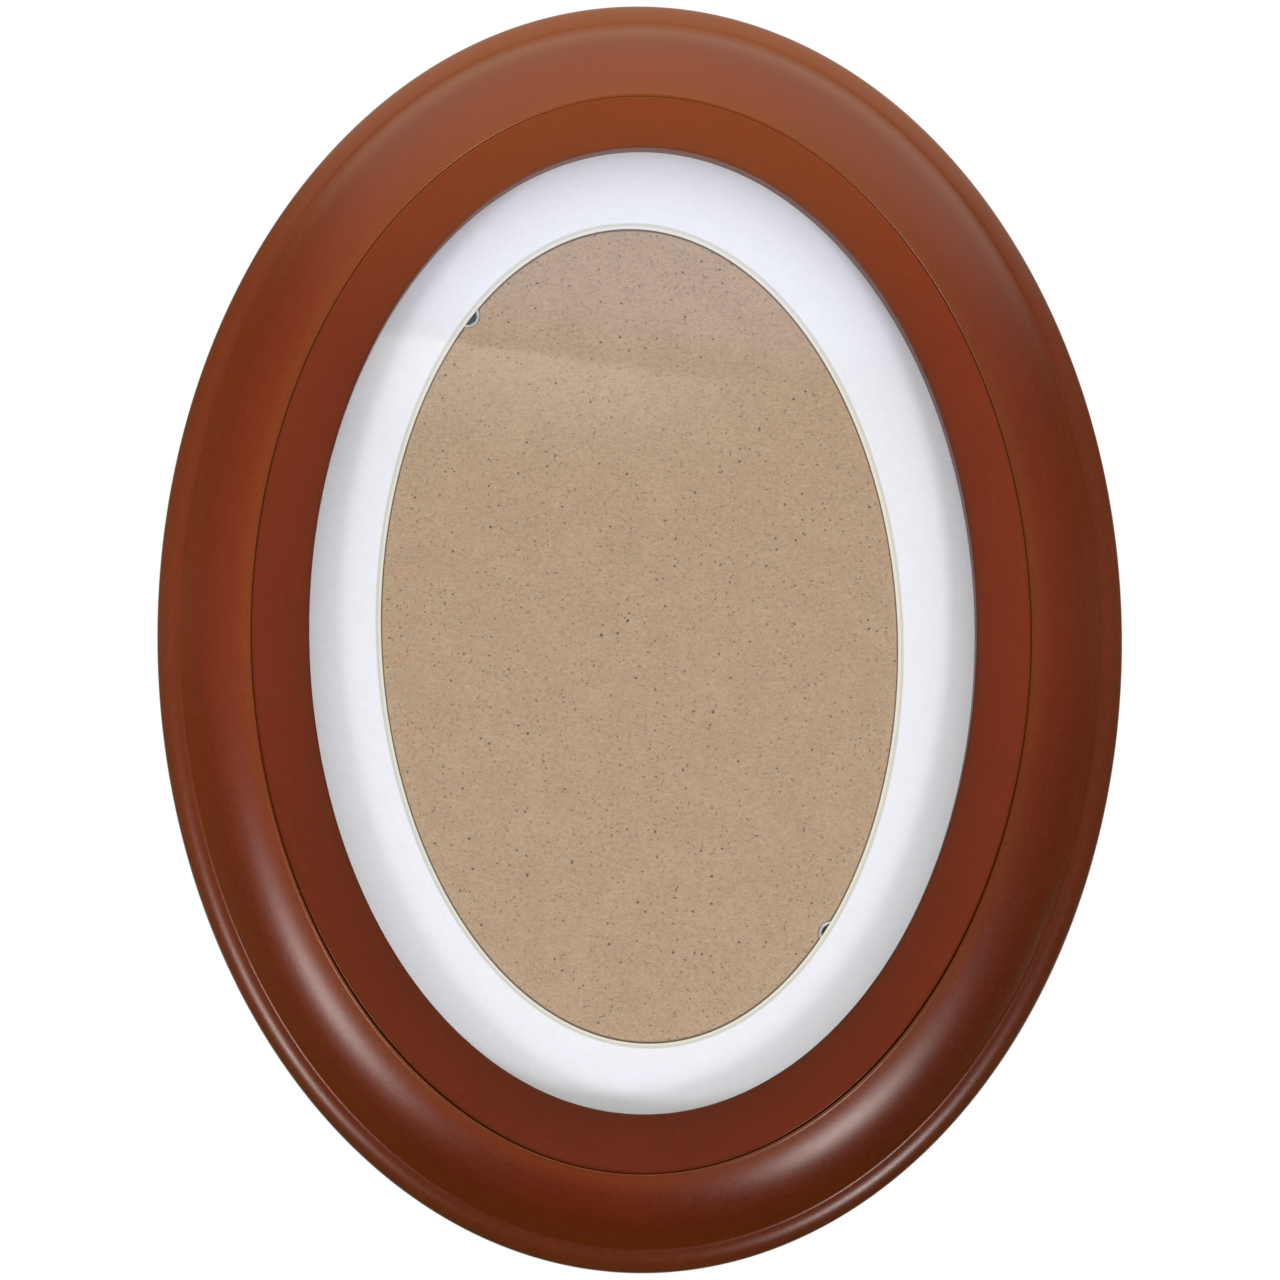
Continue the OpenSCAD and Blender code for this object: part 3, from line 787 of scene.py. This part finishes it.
def rivet_lay(x, y, z, rivet_x, rivet_y):
    return rivet_x + x, rivet_y + y, z


nickel = plated("nickel", (226, 226, 224), (170, 172, 176), scale=420, metallic=0.3, rough=0.38)
for seed, (corner, turn) in enumerate(CLIP_TURNS.items()):
    form = bmesh.new()
    spun(form, rivet_rows(seed))
    rivet = formed("hollow_rivet_" + corner, form, rivet_lay, *rivet_place(turn)[:2])
    rivet.data.materials.append(nickel)
    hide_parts("rivet_" + corner)
    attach(rivet, "frame")


# Ring hangers
# At the top and at one side of the back, a wire ring turns in a steel strap that is rolled round
# it, folded on itself and held by a cross head wood screw. All are zinc plated.
HANGER_IN = 12.9
WIRE_R, RING_HALF, LEG, RING_CORNER_R = 0.9, 6.5, 2.5, 1.3
STRAP_T, STRAP_HALF, STRAP_L = 0.8, 4.5, 11.0
ROLL_LEAN, FOLD_R, LEAF_CLEAR = 40.0, 1.0, 0.03
SCREW_IN = STRAP_L - STRAP_HALF
SCREW_R, SCREW_ROOT, SCREW_L, POINT_L, THREAD_PITCH = 1.4, 1.0, 10.0, 2.9, 1.25
SCREW_HEAD_R, SCREW_HEAD_H, SCREW_FLAT_R, SCREW_RIM = 2.6, 1.5, 1.75, 0.45
CROSS_HALF, CROSS_ARM, CROSS_DEEP = 1.5, 0.4, 0.95


def ring_form():
    """Round wire along a closed path: straight base, rounded corners, legs and half round top."""
    foot = RING_HALF - RING_CORNER_R
    path = [(x, 0.0) for x in np.linspace(-foot, foot, 12)]
    path += arc((foot, RING_CORNER_R), RING_CORNER_R, -90, 0, 9)[1:]
    path += arc((0, LEG), RING_HALF, 0, 180, 37)
    path += arc((-foot, RING_CORNER_R), RING_CORNER_R, 180, 270, 9)[:-1]
    path = np.array(path)
    along = np.roll(path, -1, 0) - np.roll(path, 1, 0)
    side = np.stack([along[:, 1], -along[:, 0]], 1) / np.linalg.norm(along, axis=1)[:, None]
    form = bmesh.new()
    rings = [[form.verts.new((*(place + out * WIRE_R * math.cos(a)), WIRE_R * math.sin(a)))
              for a in np.linspace(0, 2 * math.pi, 20, endpoint=False)]
             for place, out in zip(path, side)]
    for ring, after in zip(rings, rings[1:] + rings[:1]):
        joined(form, ring, after)
    return form


def strap_path():
    """Middle of the strip, as depth behind the wood and height, with its heading in degrees."""
    roll_r = WIRE_OUT - STRAP_T / 2
    lean = math.radians(ROLL_LEAN)
    places, headings = [(-STRAP_T / 2, -STRAP_L)], [90.0]
    for turn in np.arange(0, 180 + ROLL_LEAN + 1, 10):
        a = math.radians(turn)
        places.append((-WIRE_OUT + roll_r * math.cos(a), roll_r * math.sin(a)))
        headings.append(90 + turn)
    leaf = -STRAP_T * 1.5
    corner = places[-1][1] - (leaf - places[-1][0]) / math.tan(lean)
    centre = (leaf - FOLD_R, corner - FOLD_R * math.tan(lean / 2))
    for turn in np.linspace(ROLL_LEAN, 0, 6):
        a = math.radians(turn)
        places.append((centre[0] + FOLD_R * math.cos(a), centre[1] + FOLD_R * math.sin(a)))
        headings.append(270 + turn)
    places.append((leaf, -STRAP_L))
    headings.append(270.0)
    return np.array(places), np.array(headings)


STRAP_MIDDLE, STRAP_HEADING = strap_path()
# How far along the flat strip each of those places lies
STRAP_RUN = np.concatenate(
    [[0], np.cumsum(np.linalg.norm(np.diff(STRAP_MIDDLE, axis=0), axis=1))])


def strap_form():
    """The flat strip with round ends, a screw hole near each end, and cuts where it bends."""
    long = STRAP_RUN[-1]
    outline = arc((STRAP_HALF, 0), STRAP_HALF, 90, 270, 25)
    outline += arc((long - STRAP_HALF, 0), STRAP_HALF, -90, 90, 25)
    holes = [arc((middle, 0), SCREW_R + 0.1, 360, 0, 25)[:-1]
             for middle in (STRAP_HALF, long - STRAP_HALF)]
    return pressed(outline, holes, STRAP_T - LEAF_CLEAR, STRAP_RUN[1:-1])


def screw_form():
    """Wood screw from its point to its pan head, with a thread and a tapered cross recess."""
    form = bmesh.new()
    top = -2 * STRAP_T
    rows = [(0.0, top + SCREW_L)]
    for height in np.arange(top + SCREW_L - 0.15, 2.2, -THREAD_PITCH / 8):
        taper = min(1.0, (top + SCREW_L - height) / POINT_L)
        phase = (height / THREAD_PITCH + ROUND_AXIS / (2 * math.pi)) % 1.0
        ridge = np.maximum(0.0, 1.0 - abs(phase - 0.5) * 4.5)
        rows.append((taper * (SCREW_ROOT + (SCREW_R - SCREW_ROOT) * ridge), height))
    rows += [(SCREW_ROOT + 0.1, 2.0), (SCREW_ROOT + 0.25, 0.0), (SCREW_ROOT + 0.3, top),
             (SCREW_HEAD_R - 0.1, top), (SCREW_HEAD_R, top - 0.12),
             (SCREW_HEAD_R, top - SCREW_RIM)]
    rows += [(SCREW_FLAT_R + (SCREW_HEAD_R - SCREW_FLAT_R) * math.cos(a),
              top - SCREW_RIM - (SCREW_HEAD_H - SCREW_RIM) * math.sin(a))
             for a in np.radians(np.arange(15, 91, 15))]
    rim = spun(form, rows)
    face, floor = top - SCREW_HEAD_H, top - SCREW_HEAD_H + CROSS_DEEP
    mouth = cross(form, CROSS_HALF, CROSS_ARM, face)
    foot = cross(form, CROSS_HALF * 0.45, CROSS_ARM * 0.6, floor)
    filled(form, [rim, mouth])
    joined(form, mouth, foot)
    joined(form, foot, [form.verts.new((0, 0, floor))])
    return form


def cross(form, half, arm, height):
    """Points round a cross, from half its length and half the width of an arm."""
    corner = [(half, -arm), (half, arm), (arm, arm)]
    return [form.verts.new((x * c - y * s, x * s + y * c, height))
            for c, s in ((1, 0), (0, 1), (-1, 0), (0, -1)) for x, y in corner]


def hanger_lay(x, y, z, side, up=0.0, out=0.0):
    """A place on a hanger, whose ring points up at the top and to the right at the side."""
    if side == "top":
        return x, OUTLINE[1] - HANGER_IN + y + up, z + out
    return OUTLINE[0] - HANGER_IN + y + up, -x, z + out


def strap_lay(along, across, above, side):
    """A place on the flat strip, once it is rolled and folded."""
    heading = math.radians(np.interp(along, STRAP_RUN, STRAP_HEADING))
    depth = np.interp(along, STRAP_RUN, STRAP_MIDDLE[:, 0]) - above * math.sin(heading)
    height = np.interp(along, STRAP_RUN, STRAP_MIDDLE[:, 1]) + above * math.cos(heading)
    return hanger_lay(across, height, depth, side)


def fitted(piece, node, body):
    piece.data.materials.append(zinc)
    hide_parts(node)
    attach(piece, body)


for side in ("top", "side"):
    fitted(formed(side + "_strap", strap_form(), strap_lay, side),
           side + "_hanger_strap", "frame")
    fitted(formed(side + "_screw", screw_form(), hanger_lay, side, -SCREW_IN),
           side + "_hanger_screw", "frame")
    fitted(formed(side + "_ring_wire", ring_form(), hanger_lay, side, 0.0, -WIRE_OUT),
           side + "_hanger_ring", side + "_ring")


# Studio
# A pale floor well below the frame, two soft lamps low on the left and right, and air that is
# white behind the frame, dim in front of it and brighter overhead.
CENTRE = Vector(hung([0.0, 0.0, 0.0]).tolist())
# Each lamp's direction from the frame and its watts
LAMPS = {"lamp_right": ((0.508, -0.701, -0.508), 24.0),
         "lamp_left": ((-0.648, -0.682, -0.340), 21.0)}
LAMP_AWAY, LAMP_WIDE, LAMP_COLOUR = 3.0, 0.75, (1.0, 1.0, 1.15)
FLOOR_DOWN, FLOOR_HALF, FLOOR_START = -3.4, 14.0, 3.0
# The light of the air, and how much stronger it is overhead
SKY_COLOUR, SKY_LEAN = (0.80, 0.80, 0.768), 0.69
WHITE = (1.0, 1.0, 1.0, 1)
# What glass and lacquer mirror, by direction: light overhead, and an edge above the camera with
# blue light over it and warm light under it. The edge steps down towards the right.
OVERHEAD, OVER_EDGE, UNDER_EDGE = (0.90, 0.92, 0.98), (0.40, 0.46, 0.80), (0.87, 0.86, 0.80)
EDGE_UP, EDGE_STEP, STEP_PLACE = 0.1465, 0.0031, (0.028, 0.0595)

for name, (way, power) in LAMPS.items():
    light = bpy.data.lights.new(name, "AREA")
    light.shape, light.size, light.energy = "DISK", LAMP_WIDE, power
    light.color = LAMP_COLOUR
    lamp = bpy.data.objects.new(name, light)
    lamp.location = CENTRE + Vector(way).normalized() * LAMP_AWAY
    lamp.rotation_euler = Vector(way).to_track_quat("Z", "Y").to_euler()
    lamp.visible_camera = False
    bpy.context.scene.collection.objects.link(lamp)

floor_mesh = bpy.data.meshes.new("floor")
floor_mesh.from_pydata([(x, y, FLOOR_DOWN) for x, y in
                        ((-FLOOR_HALF, FLOOR_START), (FLOOR_HALF, FLOOR_START),
                         (FLOOR_HALF, FLOOR_HALF), (-FLOOR_HALF, FLOOR_HALF))], [], [(0, 1, 2, 3)])
floor = bpy.data.objects.new("floor", floor_mesh)
bpy.context.scene.collection.objects.link(floor)
pale = Finish("floor")
floor_mesh.materials.append(pale.surface(pale.node("BsdfPrincipled", None, {
    "Base Color": (0.8, 0.8, 0.8, 1), "Roughness": 0.9, "Specular IOR Level": 0.1})))


def studio_air():
    world = bpy.data.worlds.new("studio")
    bpy.context.scene.world = world
    world.use_nodes = True
    air = Finish("air", world.node_tree)
    camera, glossy, through = (air.node("LightPath", output=i) for i in (0, 3, 6))
    x, y, z = air.parts(air.node("TexCoord", output=0))
    over = z - EDGE_UP - air.between(x, *STEP_PLACE, EDGE_STEP, 0.0)
    past_edge = air.between(over, -0.0003, 0.0003)
    blue = air.between(over, -0.0005, 0.0040) * air.between(over, 0.040, 0.015)
    warm = (air.between(over, -0.0075, 0.0) * air.between(over, -0.0150, 0.0)
            * air.between(x, 0.060, 0.044) * (1.0 - past_edge))
    overhead = (air.between(z, 0.25, 0.62) * air.between(x + z * 0.92, -0.12, 0.12)
                * air.between(z * 1.6 - x, -0.15, 0.15))
    ahead = air.blend(1.0, air.lit(OVERHEAD, overhead), air.lit(UNDER_EDGE, warm), "ADD")
    ahead = air.blend(1.0, ahead, air.lit(OVER_EDGE, blue), "ADD")
    mirrored = air.blend(air.between(y, 0.45, 0.85), ahead, WHITE)
    shown = air.node("Background", None, {
        "Color": air.blend(glossy, WHITE, mirrored), "Strength": 1.0})
    lighting = air.node("Background", None, {
        "Color": air.lit(SKY_COLOUR, 1.0 + z * SKY_LEAN), "Strength": 1.0})
    seen = air.larger(camera, air.larger(glossy, through))
    air.node("OutputWorld", None, {
        "Surface": air.node("MixShader", None, {0: seen, 1: lighting, 2: shown})})


studio_air()


# Camera
# A long lens a little to the left of the frame and below it, as in the photograph. It is aimed
# just off the middle, in millimetres across and up the picture.
YAW, TILT, ROLL = 2.85, 7.6, 0.05
DISTANCE, LENS, SENSOR, FAR = 4.5, 502.6, 36.0, 100.0
AIM = (0.16, -0.13)


def stand_camera():
    yaw, tilt = math.radians(YAW), math.radians(TILT)
    way = Vector((-math.sin(yaw) * math.cos(tilt), -math.cos(yaw) * math.cos(tilt),
                  -math.sin(tilt)))
    turn = way.to_track_quat("Z", "Y").to_matrix()
    target = CENTRE + turn @ Vector((*AIM, 0)) / 1000
    lens = bpy.data.cameras.new("camera")
    lens.lens, lens.sensor_width, lens.clip_end = LENS, SENSOR, FAR
    camera = bpy.data.objects.new("camera", lens)
    bpy.context.scene.collection.objects.link(camera)
    camera.matrix_world = (Matrix.Translation(target + way * DISTANCE)
                           @ turn.to_4x4() @ Matrix.Rotation(math.radians(ROLL), 4, "Z"))
    bpy.context.scene.camera = camera


stand_camera()
bpy.context.scene.view_settings.view_transform = "Standard"
bpy.context.view_layer.update()
